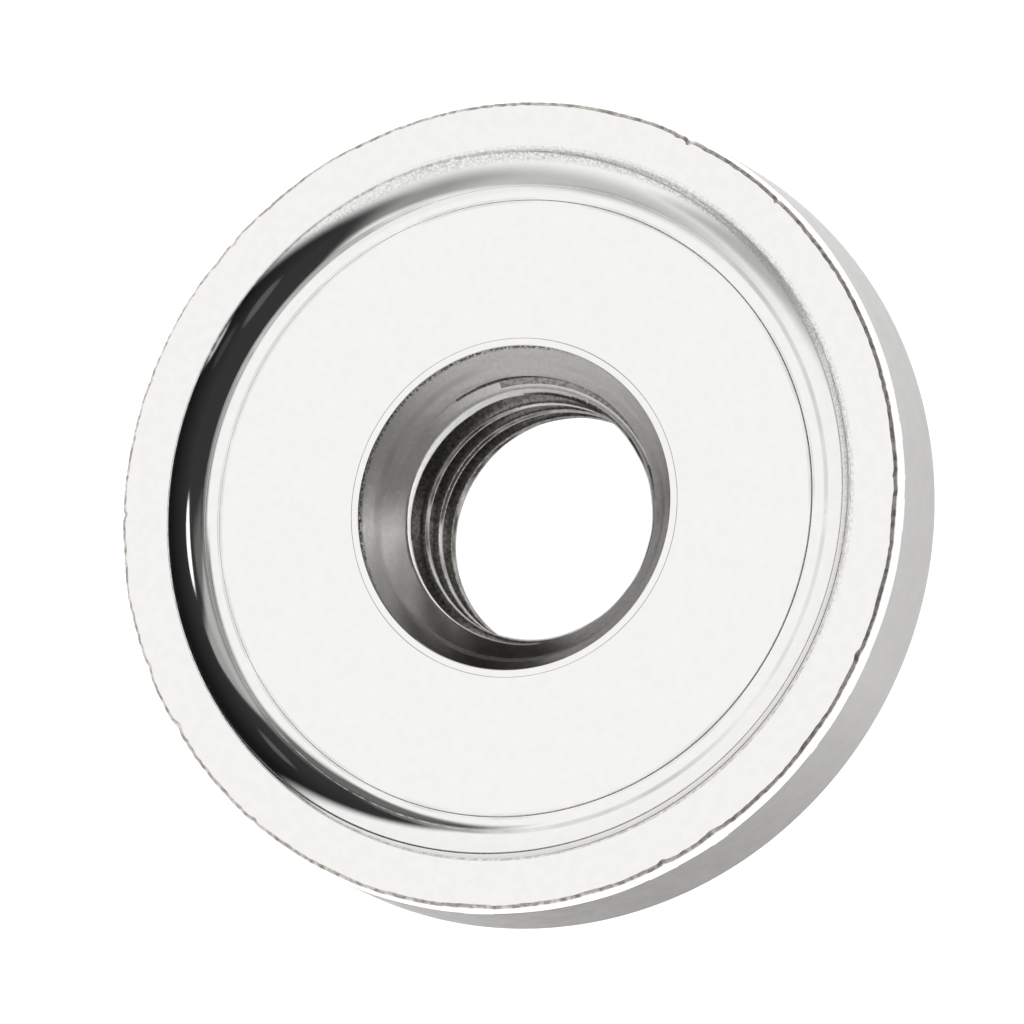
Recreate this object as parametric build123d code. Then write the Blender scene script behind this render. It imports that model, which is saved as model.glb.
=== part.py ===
from build123d import *
from build123d.topology import SkipClean
from math import radians, sqrt, tan
import os

# A flat pot magnet for magnet fishing, nickel plated all over. A ring magnet sits in a steel cup,
# with a spacer ring round it and a threaded bush through the middle. Millimetres, +Z up. The origin
# is on the axis, at the end of the bush's neck; the magnet's pulling side faces up.

# Overall size
CUP_D = 35.0                 # outside diameter of the cup
CUP_HEIGHT = 5.0             # cup back to rim
TOTAL_HEIGHT = 9.0           # neck end to rim

# Steel cup
CUP_WALL = 2.2
CUP_FLOOR = 1.5
RIM_EDGE = ((0.0, 0.70), (0.14, 0.07), (0.35, 0.0))   # outer edge: how far in and how far down
RIM_ROUND = 0.06             # inner edge of the rim
CUP_BACK_ROUND = 0.25
SEAT_R = 9.1                 # shallow seat in the cup's back, for the shoulder of the bush
SEAT_DEPTH = 0.3

# Ring magnet
MAGNET_RECESS = 0.9          # the magnet's face lies this far below the rim
MAGNET_R = 13.28
MAGNET_FLAT_R = 13.04        # the face falls away slightly outside this
MAGNET_EDGE_DROP = 0.03
MAGNET_EDGE_ROUND = 0.04     # edge that shows
MAGNET_BACK_ROUND = 0.3
GLUE_FILM = 0.1              # under the magnet
MAGNET_BORE_ROUND = 0.08

# Spacer ring that fills the gap between magnet and cup, with a shallow hollow top
SPACER_GAP = 0.04            # to the magnet, all round
SPACER_LAND = 0.01           # flat left along the spacer's outer edge
HOLLOW_DEPTH = 1.04          # foot of the hollow, below the rim; it's level there and rises to the rim in an arc

# Threaded bush, M12 x 1.75, right-hand, open right through
THREAD_MAJOR_R = 6.0
THREAD_MINOR_R = 5.2
THREAD_PITCH = 1.75
THREAD_PHASE = 1.04          # height of a groove's middle on the +X side
THREAD_CUT_R = 4.7           # the groove's cutter starts inside the bore
FLANK_ANGLE = 30.0
ROOT_FLAT = THREAD_PITCH / 8
BUSH_R = 7.3                 # where it passes through the cup's floor and the magnet
GLUE_SLEEVE = 0.15           # between the bush and the magnet's bore
GLUE_SLEEVE_DROP = 0.15      # the glue stops this far below the magnet's face
NECK_R = 9.0
NECK_CHAMFER = 0.5
SHOULDER_CHAMFER = 0.4
BORE_EXIT_CHAMFER = 0.3
MOUTH_R = 7.0                # countersink at the magnet's face
COUNTERSINK_BREAK_R = 6.42   # the countersink steepens slightly here
COUNTERSINK_BREAK_DEPTH = 0.86
COUNTERSINK_END_R = 5.5
COUNTERSINK_DEPTH = 2.1
RELIEF_R = 5.46              # the crests are turned away between the countersink and the thread
RELIEF_DEPTH = 2.8
BUSH_LIP_ROUND = 0.08
QUARTER = 90

cup_r = CUP_D / 2
cup_back_z = TOTAL_HEIGHT - CUP_HEIGHT
floor_z = cup_back_z + CUP_FLOOR
seat_z = cup_back_z + SEAT_DEPTH
cavity_r = cup_r - CUP_WALL
face_z = TOTAL_HEIGHT - MAGNET_RECESS
magnet_bore_r = BUSH_R + GLUE_SLEEVE
spacer_bore_r = MAGNET_R + SPACER_GAP


def ring(outline, edges=()):
    """Revolve a closed outline of (radius, height) points, rounding the corners named in edges."""
    with BuildSketch(Plane.XZ) as section:
        with BuildLine():
            Polyline(*outline, close=True)
        make_face()
        for corner, size in edges:
            point = section.vertices().sort_by_distance(Vector(*corner))[0]
            fillet(point, size)
    return revolve(section.sketch, Axis.Z)


def steel_cup():
    outline = [
        (BUSH_R, seat_z),
        (SEAT_R, seat_z),
        (SEAT_R, cup_back_z),
        (cup_r, cup_back_z),
        *((cup_r - inward, TOTAL_HEIGHT - drop) for inward, drop in RIM_EDGE),
        (cavity_r, TOTAL_HEIGHT),
        (cavity_r, floor_z),
        (BUSH_R, floor_z),
    ]
    return ring(outline, [((cup_r, cup_back_z), CUP_BACK_ROUND), ((cavity_r, TOTAL_HEIGHT), RIM_ROUND)])


def ring_magnet():
    back_z = floor_z + GLUE_FILM
    edge_z = face_z - MAGNET_EDGE_DROP
    outline = [
        (magnet_bore_r, back_z),
        (MAGNET_R, back_z),
        (MAGNET_R, edge_z),
        (MAGNET_FLAT_R, face_z),
        (magnet_bore_r, face_z),
    ]
    edges = [
        ((MAGNET_R, back_z), MAGNET_BACK_ROUND),
        ((MAGNET_R, edge_z), MAGNET_EDGE_ROUND),
        ((magnet_bore_r, face_z), MAGNET_BORE_ROUND),
    ]
    return ring(outline, edges)


def spacer_ring():
    """A plain ring. Its top is level at the magnet and rises to the rim in an arc."""
    wide = cavity_r - spacer_bore_r
    arc_r = (wide ** 2 + HOLLOW_DEPTH ** 2) / (2 * HOLLOW_DEPTH)
    foot_z = TOTAL_HEIGHT - HOLLOW_DEPTH

    def hollow_z(radius):
        return foot_z + arc_r - sqrt(arc_r ** 2 - (radius - spacer_bore_r) ** 2)

    top_r = cavity_r - SPACER_LAND
    middle_r = (spacer_bore_r + top_r) / 2
    foot, top = (spacer_bore_r, foot_z), (top_r, hollow_z(top_r))
    with BuildSketch(Plane.XZ) as section:
        with BuildLine():
            Polyline(foot, (spacer_bore_r, floor_z), (cavity_r, floor_z), (cavity_r, top[1]), top)
            ThreePointArc(top, (middle_r, hollow_z(middle_r)), foot)
        make_face()
    return revolve(section.sketch, Axis.Z)


def bush_blank():
    """The bush before threading. It is turned in quarters, so that no face runs right round the bore."""
    outline = [
        (THREAD_MINOR_R, BORE_EXIT_CHAMFER),
        (THREAD_MINOR_R, face_z - RELIEF_DEPTH - (RELIEF_R - THREAD_MINOR_R)),
        (RELIEF_R, face_z - RELIEF_DEPTH),
        (COUNTERSINK_END_R, face_z - COUNTERSINK_DEPTH),
        (COUNTERSINK_BREAK_R, face_z - COUNTERSINK_BREAK_DEPTH),
        (MOUTH_R, face_z),
        (BUSH_R - BUSH_LIP_ROUND, face_z),
        (BUSH_R, face_z - BUSH_LIP_ROUND),
        (BUSH_R, seat_z),
        (NECK_R - SHOULDER_CHAMFER, seat_z),
        (NECK_R, seat_z - SHOULDER_CHAMFER),
        (NECK_R, NECK_CHAMFER),
        (NECK_R - NECK_CHAMFER, 0),
        (THREAD_MINOR_R + BORE_EXIT_CHAMFER, 0),
    ]
    with BuildSketch(Plane.XZ) as section:
        with BuildLine():
            Polyline(*outline, close=True)
        make_face()
    first = revolve(section.sketch, Axis.Z, QUARTER)
    with SkipClean():
        return first.fuse(*[first.rotate(Axis.Z, QUARTER * i) for i in range(1, 360 // QUARTER)])


def thread_turn():
    """One turn of the thread's groove, as a solid to cut away, with its middle at z = 0 on the +X side."""
    depth = THREAD_MAJOR_R - THREAD_CUT_R
    root = ROOT_FLAT / 2
    mouth = root + depth * tan(radians(FLANK_ANGLE))
    path = Helix(pitch=THREAD_PITCH, height=THREAD_PITCH, radius=THREAD_CUT_R)
    start = Plane(origin=path @ 0, x_dir=(1, 0, 0), z_dir=(0, -1, 0))
    groove = start * Polygon((0, -mouth), (depth, -root), (depth, root), (0, mouth), align=None)
    return sweep(groove, path=path, is_frenet=True)


def threaded_bush():
    bush, turn = bush_blank(), thread_turn()
    height = THREAD_PHASE - 2 * THREAD_PITCH
    with SkipClean():
        while height < face_z:
            bush = bush - Pos(0, 0, height) * turn
            height += THREAD_PITCH
    return bush


def magnet_adhesive():
    outline = [
        (magnet_bore_r, floor_z),
        (MAGNET_R - MAGNET_BACK_ROUND, floor_z),
        (MAGNET_R - MAGNET_BACK_ROUND, floor_z + GLUE_FILM),
        (magnet_bore_r, floor_z + GLUE_FILM),
    ]
    return ring(outline)


def bush_adhesive():
    top_z = face_z - GLUE_SLEEVE_DROP
    return ring([(BUSH_R, floor_z), (magnet_bore_r, floor_z), (magnet_bore_r, top_z), (BUSH_R, top_z)])


os.makedirs("parts", exist_ok=True)
for make in (steel_cup, ring_magnet, spacer_ring, threaded_bush, magnet_adhesive, bush_adhesive):
    export_step(make(), f"parts/{make.__name__}.step")
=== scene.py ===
from math import asin, atan2, cos, hypot, pi, radians, sin, tan

import bmesh
import bpy
import numpy as np
from mathutils import Matrix, Vector


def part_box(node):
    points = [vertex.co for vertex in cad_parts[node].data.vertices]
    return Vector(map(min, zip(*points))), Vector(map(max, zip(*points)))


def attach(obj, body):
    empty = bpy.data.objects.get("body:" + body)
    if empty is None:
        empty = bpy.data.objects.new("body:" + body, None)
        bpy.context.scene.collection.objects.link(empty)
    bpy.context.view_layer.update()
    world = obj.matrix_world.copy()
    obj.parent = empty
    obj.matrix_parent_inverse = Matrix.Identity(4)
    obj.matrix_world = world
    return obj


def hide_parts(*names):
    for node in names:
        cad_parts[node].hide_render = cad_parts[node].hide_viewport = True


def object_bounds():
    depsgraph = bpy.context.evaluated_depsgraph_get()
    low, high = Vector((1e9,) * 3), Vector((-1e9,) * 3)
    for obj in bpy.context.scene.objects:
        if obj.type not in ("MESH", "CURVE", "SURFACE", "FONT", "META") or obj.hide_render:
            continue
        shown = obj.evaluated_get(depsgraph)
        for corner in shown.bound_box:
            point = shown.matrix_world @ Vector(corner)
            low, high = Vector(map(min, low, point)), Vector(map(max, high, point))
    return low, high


# The looks of a magnet fishing magnet: nickel-plated cup, spacer ring, ring magnet and threaded bush.
# Lengths are in millimetres here, and become metres as each mesh is made. Angles are in degrees.

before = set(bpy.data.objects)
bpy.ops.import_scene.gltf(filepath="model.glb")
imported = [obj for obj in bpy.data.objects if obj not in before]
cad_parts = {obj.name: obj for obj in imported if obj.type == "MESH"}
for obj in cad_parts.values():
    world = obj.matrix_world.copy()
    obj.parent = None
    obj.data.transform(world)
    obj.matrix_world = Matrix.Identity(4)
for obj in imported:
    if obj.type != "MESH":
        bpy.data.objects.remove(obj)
cad_low, cad_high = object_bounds()

MM = 0.001
TURN = 2 * pi


# ---------------------------------------------------------------- sizes, from the frame

def span(node):
    """Outer radius, lowest level and highest level of a CAD node."""
    low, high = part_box(node)
    return high.x / MM, low.z / MM, high.z / MM


cup_r, cup_back_z, rim_z = span("steel_cup")
spacer_r, floor_z, spacer_top_z = span("spacer_ring")
magnet_r, magnet_back_z, face_z = span("ring_magnet")
neck_r, foot_z, mouth_z = span("threaded_bush")
sleeve_r, _, sleeve_top_z = span("bush_adhesive")

# Details inside those boxes, as in the CAD
MAGNET_FLAT_R = 13.04        # the magnet's face is flat up to here, and falls away to its edge
SEAT_R = 9.1
SEAT_DEPTH = 0.3
BUSH_R = 7.3
THREAD_MAJOR_R = 6.0
THREAD_MINOR_R = 5.2
THREAD_PITCH = 1.75
THREAD_PHASE = 1.04
THREAD_ROOT = THREAD_PITCH / 8
FLANK_ANGLE = 30
EXIT_CHAMFER = 0.3
NECK_CHAMFER = 0.5
SHOULDER_CHAMFER = 0.4
# The bore before threading, as radii and how far each one lies below the bush's face
BLANK_RADII = (7.0, 6.42, 5.5, 5.46, 5.2)
RELIEF_DEPTH = 2.8
BLANK_DEPTHS = (0.0, 0.86, 2.1, RELIEF_DEPTH, 3.06)

# Details that differ slightly from the CAD, or that it leaves out
CREST_SHINE = 0.17           # half width of the bright line along each crest, left out of the thread's painted shade
HOLLOW_DEPTH = 0.97          # foot of the spacer's hollow top, below the rim
SPACER_LAND = 0.045          # flat left along the spacer's outer edge
SPACER_GAP = 0.01            # between the magnet and the spacer
TOOL_MARK_R = 13.9           # a fine ridge turned into the hollow
TOOL_MARK_HEIGHT = 0.004
MAGNET_EDGE_DROP = 0.012
GLUE_LINE = 0.006            # gap between the magnet's lip and the bush
LIP_CLEARANCE = 0.02         # between that lip and the glue below it

# The rim's outer edge: how far in and how far down its three corners are, and how unevenly they run
RIM_EDGE = ((0.0, 0.70), (0.17, 0.075), (0.31, 0.0))
EDGE_WAVES = 0.018
EDGE_ROUGHNESS = 0.009
STEP_WAVES = 0.03
# Knocks in it: angle and width in degrees, and depth
KNOCKS = (
    (1.0, 0.45, 0.16),
    (3.0, 0.5, 0.06),
    (-15.0, 0.3, 0.1),
    (-119.0, 0.7, 0.08),
    (-127.0, 0.5, 0.08),
    (117.5, 0.4, 0.1),
    (140.0, 0.8, 0.1),
    (150.0, 1.0, 0.12),
    (152.5, 0.4, 0.07),
    (75.0, 0.5, 0.07),
    (-60.0, 0.4, 0.06),
    (-86.0, 0.7, 0.07),
    (168.0, 0.5, 0.06),
    (98.0, 0.3, 0.06),
)

# How finely the meshes are turned
COLUMNS = 960
BUSH_COLUMNS = 720
LEVEL_ROWS_DEPTH = 1.15      # the bore's rows are level down to here, and follow the helix below
# Where those rows lie along one pitch: half the widths of crest and root, and the rows on each flank
CREST_HALF = 0.34
ROOT_HALF = 0.16
FLANK_ROWS = (0.46, 0.58)
HOLD = 0.04                  # extra rows this close to a rounded corner keep the flats flat
SHARP = 55                   # edges that turn by more than this aren't smoothed over

# The studio. A side is an azimuth from the middle of its dark side, a lift is a height over the horizon,
# and a pair of them is where something begins and where it is whole, or the other way round.
WHITE = 1.16                 # radiance of its white side
BACKDROP = 1.0               # what the camera sees beyond the floor
DARK = 0.012                 # radiance of its dark side, low down
DARK_HIGH = 0.045            # and high up
DARK_RISE = (12.0, 48.0)     # the lifts between which it rises
DARK_MIDDLE = -62            # azimuth of the middle of the dark side

# The white's edge on the right, and how far it leans over: the lift it starts at, slope, bend and most
RIGHT_EDGE = (68.0, 80.0)
RIGHT_LEAN = (5.0, 0.25, 0.015, 50.0)
# High up it reaches further round: lifts and sides
REACH_LIFT = (64.0, 69.0)
REACH_SIDE = (70.0, 100.0)
# The white's edge on the left, which leans by up to LEFT_LEAN between two lifts
LEFT_EDGE = (-64.0, -42.0)
LEFT_LEAN = 32.0
LEFT_LEAN_LIFT = (10.0, 45.0)
# All white overhead
OVERHEAD = (76.0, 80.0)

# Grey in the left of the white side, as the share taken away: high up, more of it next to the dark side,
# and in one upright band
GREY = 0.45
GREY_LIFT = (18.0, 52.0)
GREY_SIDE = (-178.0, -150.0)
DEEP_GREY = 0.25
DEEP_GREY_LIFT = (22.0, 48.0)
DEEP_GREY_SIDE = (-128.0, -98.0)
GREY_END = (62.0, 68.0)      # between these lifts it fades to this share of itself
GREY_REST = 0.15
BAND = 0.5
BAND_SIDE = -162.0           # its middle at the horizon, and how it slants
BAND_SLOPE = 0.37
BAND_SIZE = (3.0, 20.0)      # half widths of its full and of its soft part
BAND_END = (22.0, 46.0)      # it ends between these lifts

# The grey flag over the dark side, as a share of white, and its wing on the left
FLAG = 0.345
FLAG_LIFT = 44.0             # its lower edge, which climbs by this slope from this side on
FLAG_CLIMB = 0.5
FLAG_CLIMB_SIDE = 50.0
FLAG_EDGE = (-1.5, 2.0)      # how soft that edge is
FLAG_SIDE = (38.0, 46.0)
WING = 0.115
WING_LIFT = (53.0, 59.0)
WING_SIDE = (15.0, 30.0)
FLAG_END = (68.0, 72.0)      # between these lifts both fade to this share of themselves
FLAG_REST = 0.3

# The lamp's radiance, and soft spots by azimuth, lift, size and share of white
LAMP = 1.6
LAMP_PLACE = (20.5, 46.0)    # side and lift
LAMP_SIZE = (14.0, 4.2)
SPOTS = (
    (-106, 40, 7, 0.08),
    (8, 37, 5, 0.08),
    (-92, 28, 6, 0.03),
    (-92, 11, 6, 0.5),
)

# The light for the floor, and the floor's half width in metres
SUN = 3.7
SUN_SPREAD = 1
FLOOR_SIZE = 3.0

# Colours
NICKEL = (0.76, 0.755, 0.745)
SATIN_NICKEL = (0.95, 0.94, 0.92)
# Painted shade in the thread's grooves
THREAD_SHADE_NICKEL = (0.36, 0.35, 0.33)
# The cup's side wall, darker partly for its satin finish and partly as painted shade
WALL_SHADE_NICKEL = (0.40, 0.395, 0.385)
SIDE_NICKEL = (0.85, 0.845, 0.835)
WORN_NICKEL = (0.80, 0.76, 0.72)
# What tarnish, marks and painted shade darken the nickel towards
GRIME_AND_SHADE = (0.02, 0.015, 0.01)
EPOXY_PALE = (0.5, 0.48, 0.44)
EPOXY_DARK = (0.38, 0.36, 0.32)
FLOOR_WHITE = (0.86, 0.86, 0.86)

# The camera
VIEW_TILT = 21.29            # its direction, away from the magnet's axis
VIEW_ROLL = 62.43
VIEW_DISTANCE = 850.2
VIEW_LENS = 705.2
SENSOR = 36.0
AIM_RIGHT = 0.213            # how far the camera stands aside of the rim's centre
AIM_DOWN = 0.345


# ---------------------------------------------------------------- meshes

def ripple(phi, low, high, seed):
    """An uneven wave round the part, of about unit size, made of whole waves from low to high per turn."""
    random = np.random.default_rng(seed)
    counts = np.arange(low, high + 1)
    sizes = random.uniform(0.3, 1, counts.size)
    starts = random.uniform(0, TURN, counts.size)
    waves = sizes[:, None] * np.sin(counts[:, None] * phi + starts[:, None])
    return waves.sum(0) / np.sqrt((sizes ** 2).sum() / 2)


def dent(phi, at, width):
    """A smooth bump of unit height at one place round the part. Both angles are in degrees."""
    away = (np.degrees(phi) - at + 180) % 360 - 180
    return np.exp(-(away / width) ** 2)


def outline(corners, columns, steps=5):
    """Rows of points for a closed outline.

    A corner (r, z, size) is rounded, and a point (r, z) is used as it is. Every number may be one value, or
    one for each column round the part. The outline runs with the material on its left.
    """
    def place(corner):
        return np.stack([np.broadcast_to(np.asarray(value, float), columns) for value in corner[:2]])

    points = [place(corner) for corner in corners]
    rows = []
    for i, corner in enumerate(corners):
        if len(corner) == 2:
            rows.append(points[i])
            continue
        before, here, after = points[i - 1], points[i], points[(i + 1) % len(points)]
        back, on = before - here, after - here
        back_length, on_length = np.linalg.norm(back, axis=0), np.linalg.norm(on, axis=0)
        back, on = back / back_length, on / on_length
        half = np.arccos(np.clip((back * on).sum(0), -1, 1)) / 2
        reach = np.minimum(corner[2] / np.tan(half), 0.45 * np.minimum(back_length, on_length))
        hold = np.minimum(HOLD, 0.2 * np.minimum(back_length, on_length))
        rows.append(here + back * (reach + hold))
        for t in np.linspace(0, 1, steps + 1):
            weights = (1 - t) ** 2, 2 * t * (1 - t) * np.sin(half), t ** 2
            start, end = here + back * reach, here + on * reach
            rows.append((weights[0] * start + weights[1] * here + weights[2] * end) / sum(weights))
        rows.append(here + on * (reach + hold))
    return rows


def lattice(rows, phi, closed):
    """Vertices and faces of a grid of (r, z) rows turned to the angles phi.

    Closed joins the last row to the first.
    """
    grid = np.stack(rows)
    radius, height = grid[:, 0], grid[:, 1]
    vertices = np.stack([radius * np.cos(phi), radius * np.sin(phi), height], axis=-1).reshape(-1, 3)
    count, columns = radius.shape
    lines = np.arange(count if closed else count - 1)[:, None]
    places = np.arange(columns)[None, :]
    here, above = lines * columns, (lines + 1) % count * columns
    beside = (places + 1) % columns
    faces = np.stack([here + places, here + beside, above + beside, above + places], axis=-1)
    return vertices, faces.reshape(-1, 4)


def make_piece(name, vertices, faces, nodes, material, weld=False):
    """A mesh object from arrays in millimetres, which rides on the one body and stands for CAD nodes."""
    mesh = bpy.data.meshes.new(name)
    mesh.from_pydata((vertices * MM).tolist(), [], faces.tolist())
    if weld:
        shell = bmesh.new()
        shell.from_mesh(mesh)
        bmesh.ops.remove_doubles(shell, verts=shell.verts, dist=2e-4 * MM)
        shell.to_mesh(mesh)
        shell.free()
    mesh.polygons.foreach_set("use_smooth", [True] * len(mesh.polygons))
    mesh.set_sharp_from_angle(angle=radians(SHARP))
    mesh.materials.append(material)
    mesh.update()
    piece = bpy.data.objects.new(name, mesh)
    bpy.context.scene.collection.objects.link(piece)
    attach(piece, "root")
    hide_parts(*nodes)
    return piece


def turned(name, corners, nodes, material, steps=5):
    """A closed turned piece from its outline."""
    phi = np.arange(COLUMNS) * TURN / COLUMNS
    vertices, faces = lattice(outline(corners(phi), COLUMNS, steps), phi, closed=True)
    return make_piece(name, vertices, faces, nodes, material)


# ---------------------------------------------------------------- pieces

def cup_outline(phi):
    """The cup's outline. The outer edge of the rim is rolled over unevenly, and knocked in places."""
    edge = EDGE_WAVES * ripple(phi, 3, 40, 1) + EDGE_ROUGHNESS * ripple(phi, 40, 240, 2)
    step = STEP_WAVES * ripple(phi, 2, 30, 3)
    knock = sum(depth * dent(phi, at, width) for at, width, depth in KNOCKS)
    (_, low), (middle_in, middle), (top_in, _) = RIM_EDGE
    seat_z = cup_back_z + SEAT_DEPTH
    return [
        (BUSH_R, seat_z, 0.02),
        (SEAT_R, seat_z, 0.02),
        (SEAT_R, cup_back_z, 0.05),
        (cup_r, cup_back_z, 0.25),
        (cup_r, rim_z - low + step, 0.1),
        (cup_r - middle_in + 0.6 * edge - 0.7 * knock, rim_z - middle - 0.5 * knock, 0.06),
        (cup_r - top_in + edge - knock, rim_z, 0.06),
        (spacer_r, rim_z, 0.02),
        (spacer_r, floor_z, 0.05),
        (BUSH_R, floor_z, 0.02),
    ]


def magnet_outline(phi):
    """The ring magnet. Its outer edge falls away slightly, and its bore has a lip over the glue."""
    lip_r, lip_z = BUSH_R + GLUE_LINE, sleeve_top_z + LIP_CLEARANCE
    return [
        (sleeve_r, magnet_back_z, 0.1),
        (magnet_r, magnet_back_z, 0.3),
        (magnet_r, face_z - MAGNET_EDGE_DROP, 0.04),
        (MAGNET_FLAT_R, face_z, 0.3),
        (lip_r, face_z, 0.012),
        (lip_r, lip_z, 0.02),
        (sleeve_r, lip_z, 0.02),
    ]


def spacer_outline(phi):
    """The spacer ring. Its top is a shallow hollow, level at the magnet and rising to the rim in an arc."""
    inner = magnet_r + SPACER_GAP
    foot = rim_z - HOLLOW_DEPTH
    top_r, top_z = spacer_r - SPACER_LAND, rim_z - 0.004
    wide, deep = top_r - inner, top_z - foot
    bend = (wide ** 2 + deep ** 2) / (2 * deep)
    whole = asin(wide / bend)
    mark = asin((TOOL_MARK_R - inner) / bend) / whole
    shares = np.union1d(np.linspace(0.02, 0.97, 43), mark + np.linspace(-0.012, 0.012, 7))
    curve = []
    for share in shares[::-1]:
        radius = inner + bend * sin(share * whole)
        bump = TOOL_MARK_HEIGHT * np.exp(-((share - mark) / 0.004) ** 2)
        ridge = bump * (1 + 0.5 * ripple(phi, 50, 250, 5))
        curve.append((radius, foot + bend * (1 - cos(share * whole)) + ridge))
    outside = [(inner, floor_z, 0.05), (spacer_r, floor_z, 0.05), (spacer_r, top_z), (top_r, top_z, 0.08)]
    return [*outside, *curve, (inner, foot, 0.01)]


def soft_max(a, b, size):
    """The larger of two lengths, with the corner between them rounded."""
    near = np.maximum(size - np.abs(a - b), 0) / size
    return np.maximum(a, b) + near ** 2 * size / 4


def bore_radius(phi, height):
    """Radius of the bore: the thread, the countersink at the face and the chamfer at the neck's end."""
    groove = THREAD_PHASE + THREAD_PITCH * phi / TURN
    away = np.abs((height - groove + THREAD_PITCH / 2) % THREAD_PITCH - THREAD_PITCH / 2)
    flank = THREAD_MAJOR_R - (away - THREAD_ROOT / 2) / tan(radians(FLANK_ANGLE))
    thread = -soft_max(-flank, -THREAD_MAJOR_R, 0.1)
    blank = np.interp(mouth_z - height, BLANK_DEPTHS, BLANK_RADII)
    chamfer = THREAD_MINOR_R + EXIT_CHAMFER + foot_z - height
    return soft_max(soft_max(thread, blank, 0.06), chamfer, 0.05)


def bush():
    """The threaded bush. Its bore's rows follow the helix, so that every crest is one clean line."""
    half = THREAD_PITCH / 2
    crest = np.linspace(-CREST_HALF, CREST_HALF, 7)
    root = half + np.linspace(-ROOT_HALF, ROOT_HALF, 4)
    far_flank = [THREAD_PITCH - row for row in reversed(FLANK_ROWS)]
    steps = np.concatenate([crest, FLANK_ROWS, root, far_flank])
    turns = np.arange(-2, 4)
    offsets = (turns[:, None] * THREAD_PITCH + steps[None, :]).ravel()
    phi = np.arange(BUSH_COLUMNS + 1) * TURN / BUSH_COLUMNS
    cone_rows = np.linspace(mouth_z - LEVEL_ROWS_DEPTH, mouth_z - 0.04, 14)
    rows = []
    for offset in offsets:
        helix = THREAD_PHASE + half + THREAD_PITCH * phi / TURN + offset
        height = np.clip(helix, foot_z + 0.02, cone_rows[0])
        rows.append(np.stack([bore_radius(phi, height), height]))
    for level in cone_rows:
        height = np.full(phi.shape, level)
        rows.append(np.stack([bore_radius(phi, height), height]))
    rows.reverse()
    seat_z = cup_back_z + SEAT_DEPTH
    start, end = rows[-1], rows[0]
    outside = outline([
        (start[0], start[1]),
        (THREAD_MINOR_R + EXIT_CHAMFER, foot_z, 0.03),
        (neck_r - NECK_CHAMFER, foot_z, 0.03),
        (neck_r, foot_z + NECK_CHAMFER, 0.05),
        (neck_r, seat_z - SHOULDER_CHAMFER, 0.05),
        (neck_r - SHOULDER_CHAMFER, seat_z, 0.03),
        (BUSH_R, seat_z, 0.03),
        (BUSH_R, mouth_z, 0.012),
        (BLANK_RADII[0], mouth_z, 0.05),
        (end[0], end[1]),
    ], phi.size, 3)
    vertices, faces = lattice(rows + outside, phi, closed=True)
    # The last column closes the turn already, and is welded to the first
    columns = phi.size
    seam = (faces[:, 0] % columns) == columns - 1
    return vertices, faces[~seam]


# ---------------------------------------------------------------- materials

def add(tree, kind, settings=(), feed=()):
    """Add a node, set its properties, and feed its inputs with numbers or with other nodes' outputs."""
    made = tree.nodes.new("ShaderNode" + kind)
    for name, value in dict(settings).items():
        setattr(made, name, value)
    for name, value in dict(feed).items():
        if isinstance(value, bpy.types.NodeSocket):
            tree.links.new(value, made.inputs[name])
        else:
            made.inputs[name].default_value = value
    return made


def maths(tree, operation, *values):
    """A maths node's output."""
    return add(tree, "Math", {"operation": operation}, enumerate(values)).outputs[0]


def remap(tree, value, low, high, to_low=0.0, to_high=1.0, soft=False):
    """Value from low..high to to_low..to_high, held at both ends."""
    kind = "SMOOTHSTEP" if soft else "LINEAR"
    feed = {"Value": value, "From Min": low, "From Max": high, "To Min": to_low, "To Max": to_high}
    return add(tree, "MapRange", {"interpolation_type": kind}, feed).outputs[0]


def noise(tree, vector, size, detail=2.0, roughness=0.5):
    """Noise whose lumps are about size millimetres."""
    feed = {"Vector": vector, "Scale": 1 / (size * MM), "Detail": detail, "Roughness": roughness}
    return add(tree, "TexNoise", {}, feed).outputs[0]


def aim(side, lift):
    """Unit vector towards an azimuth and a height over the horizon."""
    side, lift = radians(side), radians(lift)
    return Vector((cos(lift) * cos(side), cos(lift) * sin(side), sin(lift)))


def facing(tree, place, towards, low, high):
    """How far a spot lies towards an azimuth: 0 at low and 1 at high millimetres that way."""
    across = add(tree, "VectorMath", {"operation": "DOT_PRODUCT"}, {0: place})
    across.inputs[1].default_value = aim(towards, 0) / MM
    return remap(tree, across.outputs["Value"], low, high)


def ring_mark(tree, place, radius, width, depth, spots, towards=None):
    """An uneven dark line round the part, all round or mostly on one side."""
    flat = add(tree, "VectorMath", {"operation": "MULTIPLY"}, {0: place})
    flat.inputs[1].default_value = (1 / MM, 1 / MM, 0)
    away = add(tree, "VectorMath", {"operation": "LENGTH"}, {0: flat.outputs[0]}).outputs["Value"]
    off = maths(tree, "ABSOLUTE", maths(tree, "SUBTRACT", away, radius))
    line = maths(tree, "MULTIPLY", remap(tree, off, 0.3 * width, width, depth, 0.0, soft=True),
                 remap(tree, noise(tree, place, spots, 3.0, 0.6), 0.38, 0.6))
    if towards is None:
        return line
    return maths(tree, "MULTIPLY", line, facing(tree, place, towards, 0.1 * radius, 0.7 * radius))


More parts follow.
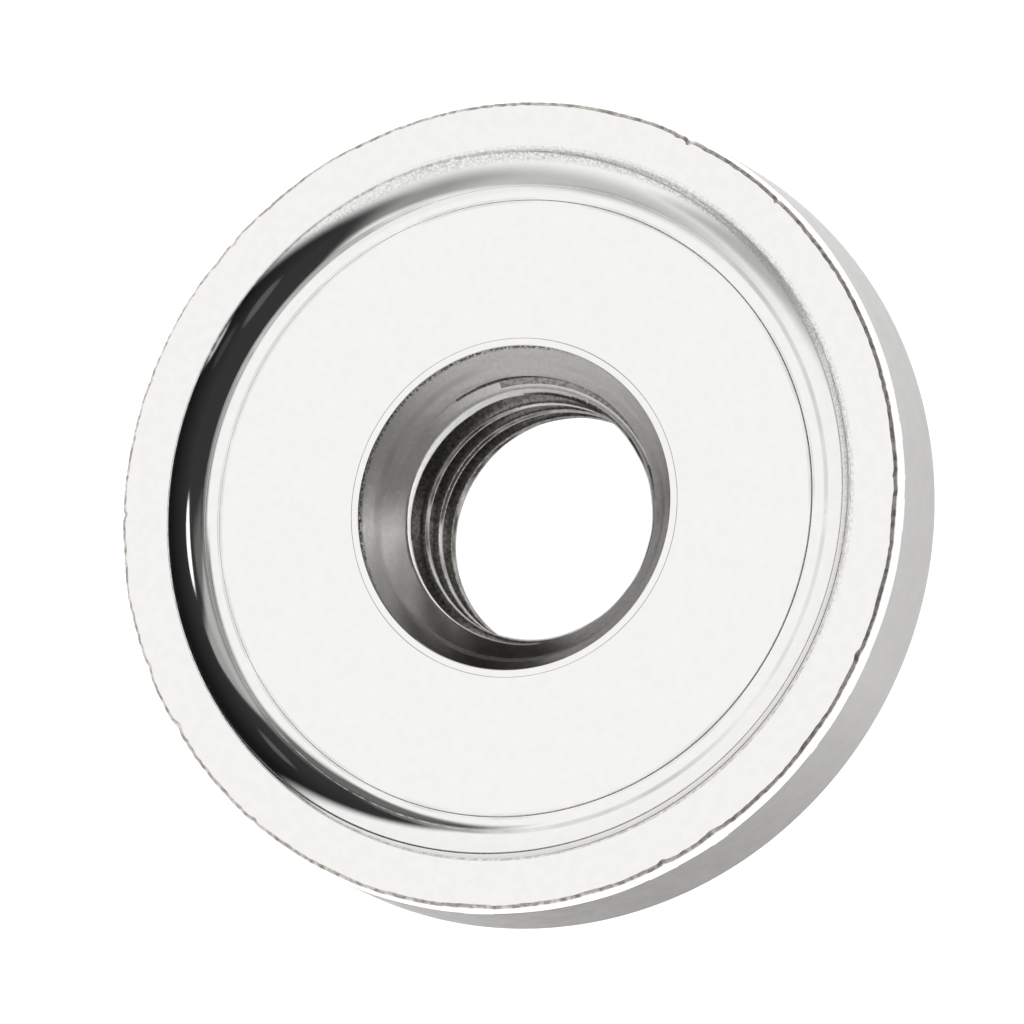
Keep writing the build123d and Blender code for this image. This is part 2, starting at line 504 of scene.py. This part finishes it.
def plate(name, colour, gloss, tarnish=0.03, grain=0.3, grain_depth=0.0006, haze=0.1, spots=0.5,
          shade=None, marks=(), grazing=1.0, dull=None):
    """Nickel plate, mottled down to (1 - tarnish) of its colour in spots of that size.

    Gloss is its roughness, haze how much that varies, and grain the size of the fine lumps in it. Shade
    is painted shade: an azimuth to darken towards, by how much, and from and to how far. Marks are
    ring_mark's values.
    Grazing is how bright it stays where it is seen edge on, and dull gives the same four values as shade
    for where it is rougher.
    """
    material = bpy.data.materials.new(name)
    material.use_nodes = True
    tree = material.node_tree
    shader = tree.nodes["Principled BSDF"]
    place = add(tree, "TexCoord").outputs["Object"]
    tarnish_and_shade = remap(tree, noise(tree, place, spots, 4.0), 0.35, 0.65, 0.0, tarnish)
    # Painted shade: darker towards one azimuth, added to the tarnish
    if shade:
        towards, depth, low, high = shade
        painted_darkening = maths(tree, "MULTIPLY", facing(tree, place, towards, low, high), depth)
        tarnish_and_shade = maths(tree, "ADD", tarnish_and_shade, painted_darkening)
    cloud = noise(tree, place, 0.8, 5.0, 0.6)
    rough = remap(tree, cloud, 0.3, 0.7, gloss * (1 - haze), gloss * (1 + haze))
    if dull:
        towards, depth, low, high = dull
        rough = maths(tree, "MULTIPLY_ADD", facing(tree, place, towards, low, high), depth, rough)
    for mark in marks:
        line = ring_mark(tree, place, *mark)
        tarnish_and_shade = maths(tree, "MAXIMUM", tarnish_and_shade, line)
        rough = maths(tree, "MULTIPLY_ADD", line, 0.7, rough)
    tint = add(tree, "Mix", {"data_type": "RGBA"}, {0: tarnish_and_shade})
    tint.inputs[6].default_value = (*colour, 1)
    tint.inputs[7].default_value = (*GRIME_AND_SHADE, 1)
    tree.links.new(tint.outputs[2], shader.inputs["Base Color"])
    tree.links.new(rough, shader.inputs["Roughness"])
    shader.inputs["Metallic"].default_value = 1.0
    shader.inputs["Specular Tint"].default_value = (grazing, grazing, grazing, 1)
    lumps = noise(tree, place, grain, 3.0, 0.6)
    bump = add(tree, "Bump", {}, {"Height": lumps, "Strength": 1.0, "Distance": grain_depth * MM})
    tree.links.new(bump.outputs[0], shader.inputs["Normal"])
    return material


def epoxy():
    """Cured epoxy, cloudy grey-brown."""
    material = bpy.data.materials.new("epoxy")
    material.use_nodes = True
    tree = material.node_tree
    shader = tree.nodes["Principled BSDF"]
    place = add(tree, "TexCoord").outputs["Object"]
    cloud = noise(tree, place, 0.4, 3.0)
    tint = add(tree, "Mix", {"data_type": "RGBA"}, {0: cloud})
    tint.inputs[6].default_value = (*EPOXY_PALE, 1)
    tint.inputs[7].default_value = (*EPOXY_DARK, 1)
    tree.links.new(tint.outputs[2], shader.inputs["Base Color"])
    rough = remap(tree, cloud, 0.3, 0.7, 0.2, 0.4)
    tree.links.new(rough, shader.inputs["Roughness"])
    return material


def paint(piece, material, chosen):
    """Give another material to the faces that chosen picks, from their radius, height and angle."""
    piece.data.materials.append(material)
    for face in piece.data.polygons:
        x, y, z = face.center / MM
        if chosen(hypot(x, y), z, atan2(y, x)):
            face.material_index = len(piece.data.materials) - 1


def on_wall(radius, height, phi):
    return radius > cup_r - 0.01


def on_worn_edge(radius, height, phi):
    """Whether a face of the cup is on the facet along the rim's outer edge."""
    return cup_r - 0.5 < radius < cup_r - 0.13 and rim_z - 0.2 < height < rim_z - 0.003


def on_magnet_side(radius, height, phi):
    return radius > magnet_r - 0.05


def on_lip(radius, height, phi):
    """Whether a face of the bush is on the flat ring round its mouth."""
    return BLANK_RADII[0] - 0.02 < radius < BUSH_R and height > mouth_z - 0.05


def in_thread_shade(radius, height, phi):
    """Whether a face of the bush gets the thread's painted shade: in its groove, and not on the middle of
    its crest.
    """
    along = (height - THREAD_PHASE - THREAD_PITCH * phi / TURN) % THREAD_PITCH
    depth = mouth_z - height
    threaded = depth > RELIEF_DEPTH or radius > np.interp(depth, BLANK_DEPTHS, BLANK_RADII) + 0.1
    return radius < THREAD_MAJOR_R + 0.05 and threaded and abs(along - THREAD_PITCH / 2) > CREST_SHINE


# ---------------------------------------------------------------- studio

def disc(tree, ray, side, lift, size):
    """A soft round patch of the studio, 1 in its middle."""
    near = add(tree, "VectorMath", {"operation": "DOT_PRODUCT"}, {0: ray})
    near.inputs[1].default_value = aim(side, lift)
    return remap(tree, near.outputs["Value"], cos(radians(size)), cos(radians(size * 0.5)), soft=True)


def patch(tree, side, lift, place, size):
    """A soft oval patch of the studio, 1 in its middle."""
    across = maths(tree, "DIVIDE", maths(tree, "SUBTRACT", side, place[0]), size[0])
    along = maths(tree, "DIVIDE", maths(tree, "SUBTRACT", lift, place[1]), size[1])
    along_squared = maths(tree, "MULTIPLY", along, along)
    away = maths(tree, "SQRT", maths(tree, "MULTIPLY_ADD", across, across, along_squared))
    return remap(tree, away, 0.6, 1.0, 1.0, 0.0, soft=True)


def grey_band(tree, side, lift):
    """The upright grey band in the white side: the share of white that it takes away."""
    off = maths(tree, "SUBTRACT", side, BAND_SIDE)
    off = maths(tree, "SUBTRACT", off, maths(tree, "MULTIPLY", lift, BAND_SLOPE))
    off = maths(tree, "ABSOLUTE", maths(tree, "WRAP", off, 180.0, -180.0))
    band = remap(tree, off, *BAND_SIZE, BAND, 0.0, soft=True)
    return maths(tree, "MULTIPLY", band, remap(tree, lift, *BAND_END, 1.0, 0.0, soft=True))


def white_side(tree, side, lift):
    """The white side, 1 where it is whole, with its grey top and band."""
    start, slope, bend, most = RIGHT_LEAN
    over = maths(tree, "MAXIMUM", maths(tree, "SUBTRACT", lift, start), 0.0)
    lean = maths(tree, "MULTIPLY", over, maths(tree, "MULTIPLY_ADD", over, bend, slope))
    lean = maths(tree, "MINIMUM", lean, most)
    right = remap(tree, maths(tree, "SUBTRACT", side, lean), *RIGHT_EDGE, soft=True)
    reach = remap(tree, lift, *REACH_LIFT, soft=True)
    reach = maths(tree, "MULTIPLY", reach, remap(tree, side, *REACH_SIDE, soft=True))
    right = maths(tree, "MAXIMUM", right, reach)

    left_lean = remap(tree, lift, *LEFT_LEAN_LIFT, 0.0, LEFT_LEAN)
    left = remap(tree, maths(tree, "ADD", side, left_lean), *LEFT_EDGE, 1.0, 0.0, soft=True)

    grey = remap(tree, lift, *GREY_LIFT, 0.0, GREY, soft=True)
    grey = maths(tree, "MULTIPLY", grey, remap(tree, side, *GREY_SIDE, soft=True))
    deep = remap(tree, lift, *DEEP_GREY_LIFT, 0.0, DEEP_GREY)
    deep = maths(tree, "MULTIPLY", deep, remap(tree, side, *DEEP_GREY_SIDE, soft=True))
    grey_end = remap(tree, lift, *GREY_END, 1.0, GREY_REST)
    grey = maths(tree, "MULTIPLY", maths(tree, "ADD", grey, deep), grey_end)

    band = grey_band(tree, side, lift)
    right = maths(tree, "MULTIPLY", right, maths(tree, "SUBTRACT", 1.0, band))
    left = maths(tree, "MULTIPLY", left, maths(tree, "SUBTRACT", 1.0, maths(tree, "MAXIMUM", grey, band)))
    white = maths(tree, "MAXIMUM", right, left)
    return maths(tree, "MAXIMUM", white, remap(tree, lift, *OVERHEAD, soft=True))


def grey_flag(tree, side, lift):
    """The grey flag over the dark side, as a share of white."""
    climb = maths(tree, "MAXIMUM", maths(tree, "SUBTRACT", side, FLAG_CLIMB_SIDE), 0.0)
    low = maths(tree, "MULTIPLY_ADD", climb, FLAG_CLIMB, FLAG_LIFT)
    flag = remap(tree, maths(tree, "SUBTRACT", lift, low), *FLAG_EDGE, soft=True)
    flag = maths(tree, "MULTIPLY", flag, remap(tree, side, *FLAG_SIDE, 0.0, FLAG, soft=True))
    wing = remap(tree, lift, *WING_LIFT, soft=True)
    wing = maths(tree, "MULTIPLY", wing, remap(tree, side, *WING_SIDE, 0.0, WING, soft=True))
    end = remap(tree, lift, *FLAG_END, 1.0, FLAG_REST, soft=True)
    return maths(tree, "MULTIPLY", maths(tree, "ADD", flag, wing), end)


def studio_world():
    """A white studio with one dark side, a grey flag high over it and one small lamp in it."""
    world = bpy.data.worlds.new("studio")
    bpy.context.scene.world = world
    world.use_nodes = True
    tree = world.node_tree
    tree.nodes.clear()
    ray = add(tree, "TexCoord").outputs["Generated"]
    spin = {"Vector": ray, "Angle": -radians(DARK_MIDDLE)}
    spun = add(tree, "VectorRotate", {"rotation_type": "Z_AXIS"}, spin).outputs[0]
    x, y, z = add(tree, "SeparateXYZ", {}, {0: spun}).outputs
    side = maths(tree, "MULTIPLY", maths(tree, "ARCTAN2", y, x), 180 / pi)
    lift = maths(tree, "MULTIPLY", maths(tree, "ARCSINE", z), 180 / pi)

    bright = maths(tree, "MAXIMUM", white_side(tree, side, lift), grey_flag(tree, side, lift))
    for at, height, size, share in SPOTS:
        bright = maths(tree, "MULTIPLY_ADD", disc(tree, ray, at, height, size), share, bright)
    lamp = maths(tree, "MULTIPLY", patch(tree, side, lift, LAMP_PLACE, LAMP_SIZE), LAMP)
    dark = remap(tree, lift, *DARK_RISE, DARK, DARK_HIGH)
    strength = maths(tree, "ADD", maths(tree, "MULTIPLY_ADD", bright, WHITE, dark), lamp)

    seen = add(tree, "LightPath").outputs["Is Camera Ray"]
    pick = add(tree, "Mix", {"data_type": "FLOAT"}, {0: seen, 2: strength, 3: BACKDROP})
    glow = add(tree, "Background", {}, {"Color": (1, 1, 1, 1), "Strength": pick.outputs[0]})
    out = add(tree, "OutputWorld")
    tree.links.new(glow.outputs[0], out.inputs["Surface"])


def camera():
    """The photo's camera. Returns the direction from the magnet to the camera."""
    tilt, roll = radians(VIEW_TILT), radians(VIEW_ROLL)
    back = Vector((0, -sin(tilt), cos(tilt)))
    level_right, level_up = Vector((1, 0, 0)), Vector((0, cos(tilt), sin(tilt)))
    right = level_right * cos(roll) - level_up * sin(roll)
    up = level_up * cos(roll) + level_right * sin(roll)
    place = Vector((0, 0, rim_z)) + back * VIEW_DISTANCE + right * AIM_RIGHT - up * AIM_DOWN
    data = bpy.data.cameras.new("camera")
    data.sensor_width = SENSOR
    data.lens = VIEW_LENS
    data.clip_start = 0.01
    data.clip_end = 50
    made = bpy.data.objects.new("camera", data)
    made.matrix_world = Matrix.Translation(place * MM) @ Matrix((right, up, back)).transposed().to_4x4()
    bpy.context.scene.collection.objects.link(made)
    bpy.context.scene.camera = made
    return back


def sun(direction):
    """Soft light from beside the camera, for the floor alone: it isn't mirrored in the metal."""
    data = bpy.data.lights.new("key", "SUN")
    data.energy = SUN
    data.angle = radians(SUN_SPREAD)
    made = bpy.data.objects.new("key", data)
    made.rotation_mode = "QUATERNION"
    made.rotation_quaternion = direction.to_track_quat("Z", "Y")
    made.visible_glossy = False
    bpy.context.scene.collection.objects.link(made)


def floor():
    """A pale matt floor at the part's foot."""
    material = bpy.data.materials.new("pale_floor")
    material.use_nodes = True
    shader = material.node_tree.nodes["Principled BSDF"]
    shader.inputs["Base Color"].default_value = (*FLOOR_WHITE, 1)
    shader.inputs["Roughness"].default_value = 1.0
    shader.inputs["Specular IOR Level"].default_value = 0.0
    size = FLOOR_SIZE
    corners = [(-size, -size, 0), (size, -size, 0), (size, size, 0), (-size, size, 0)]
    mesh = bpy.data.meshes.new("floor")
    mesh.from_pydata(corners, [], [(0, 1, 2, 3)])
    mesh.materials.append(material)
    made = bpy.data.objects.new("floor", mesh)
    made.location.z = cad_low.z
    bpy.context.scene.collection.objects.link(made)


view_back = camera()
studio_world()
sun(view_back)
floor()

# ---------------------------------------------------------------- the plated surfaces

# Ring marks: radius, half width, how dark, size of their spots, and the side they are on
CUP_MARKS = (
    (15.36, 0.16, 0.2, 0.15, -20),
)
MAGNET_MARKS = (
    (13.2, 0.1, 0.15, 3.0, None),
)
SPACER_MARKS = (
    (13.36, 0.06, 0.2, 3.0, None),
    (13.93, 0.16, 0.3, 8.0, None),
    (15.1, 0.35, 0.28, 0.12, -5),
    (15.27, 0.1, 0.3, 0.3, None),
)
BUSH_MARKS = (
    (7.0, 0.16, 0.85, 0.12, 75),
    (7.0, 0.06, 0.5, 1.5, None),
    (6.42, 0.16, 0.25, 6.0, None),
    # At the crests: painted shade that dims their bright lines
    (5.2, 0.22, 0.8, 4.0, None),
)

bright_plate = plate("nickel_cup_plate", NICKEL, 0.08, grain_depth=0.0004, marks=CUP_MARKS)
magnet_plate = plate(
    "nickel_magnet_plate", NICKEL, 0.08, tarnish=0.02, grain_depth=0.0003, marks=MAGNET_MARKS,
)
cove_plate = plate("nickel_spacer_plate", NICKEL, 0.05, grain_depth=0.0004, marks=SPACER_MARKS)
# The bush's plate, with painted shade on the near side of its countersink
satin_shade_plate = plate(
    "nickel_bush_shade_painted", SATIN_NICKEL, 0.17, tarnish=0.1, grain=0.1, grain_depth=0.0015, spots=0.2,
    shade=(-115, 0.62, 1.2, 3.8), marks=BUSH_MARKS, grazing=0.4, dull=(25, 0.42, -1, 6),
)
# The thread's grooves, in painted shade
thread_shade_plate = plate(
    "nickel_thread_shade_painted", THREAD_SHADE_NICKEL, 0.3, tarnish=0.6, grain=0.1, grain_depth=0.0015, spots=0.15,
)
# The side wall, with painted shade darkening it further towards one side
wall_shade_plate = plate(
    "nickel_wall_shade_painted", WALL_SHADE_NICKEL, 0.35, grain=0.1, grain_depth=0.0015, shade=(-162, 0.75, 5, 17),
)
frosted_plate = plate("nickel_magnet_side", SIDE_NICKEL, 0.7, grain=0.1)
edge_plate = plate("nickel_worn_edge", WORN_NICKEL, 0.6, tarnish=0.6, grain=0.1, spots=0.3)
glue = epoxy()

# ---------------------------------------------------------------- the magnet

cup = turned("cup_body", cup_outline, ["steel_cup"], bright_plate)
paint(cup, wall_shade_plate, on_wall)
paint(cup, edge_plate, on_worn_edge)
magnet = turned("magnet_body", magnet_outline, ["ring_magnet"], magnet_plate)
paint(magnet, frosted_plate, on_magnet_side)
turned("spacer_body", spacer_outline, ["spacer_ring"], cove_plate)
bush_vertices, bush_faces = bush()
bush_body = make_piece(
    "bush_body", bush_vertices, bush_faces, ["threaded_bush"], satin_shade_plate, weld=True,
)
paint(bush_body, thread_shade_plate, in_thread_shade)
paint(bush_body, magnet_plate, on_lip)
for node in ("magnet_adhesive", "bush_adhesive"):
    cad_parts[node].data.materials.clear()
    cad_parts[node].data.materials.append(glue)

bpy.context.scene.view_settings.view_transform = "Standard"
